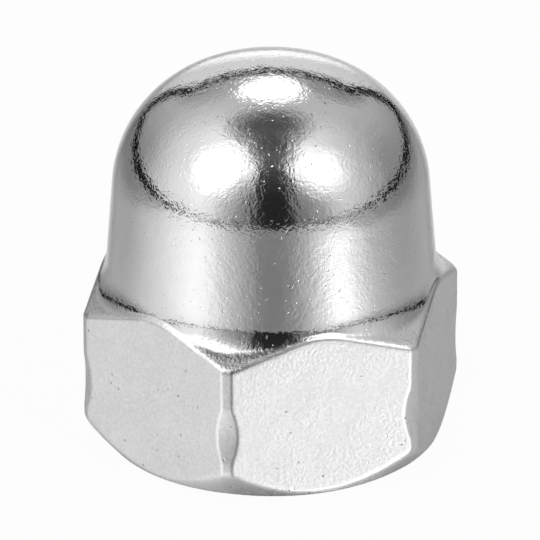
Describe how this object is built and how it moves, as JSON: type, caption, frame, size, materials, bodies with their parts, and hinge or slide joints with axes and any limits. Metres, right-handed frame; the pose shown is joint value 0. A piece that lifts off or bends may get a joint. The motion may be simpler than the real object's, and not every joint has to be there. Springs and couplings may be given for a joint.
{
  "type": "cap nut",
  "caption": "Hexagonal cap nut with a tall closed dome over a blind tapped hole, formed as one piece of bright plated steel, for covering and fastening a threaded end.",
  "frame": {"origin": "centre of the bearing face, on the thread axis", "axes": "+Z along the thread axis from the bearing face to the top of the cap, X through two opposite corners of the hexagon, Y square to two opposite flats"},
  "size_m": [0.0148, 0.013, 0.015],
  "materials": {
    "plated_steel": "polished"
  },
  "bodies": {
    "root": {"cap_nut": "plated_steel"}
  },
  "joints": []
}
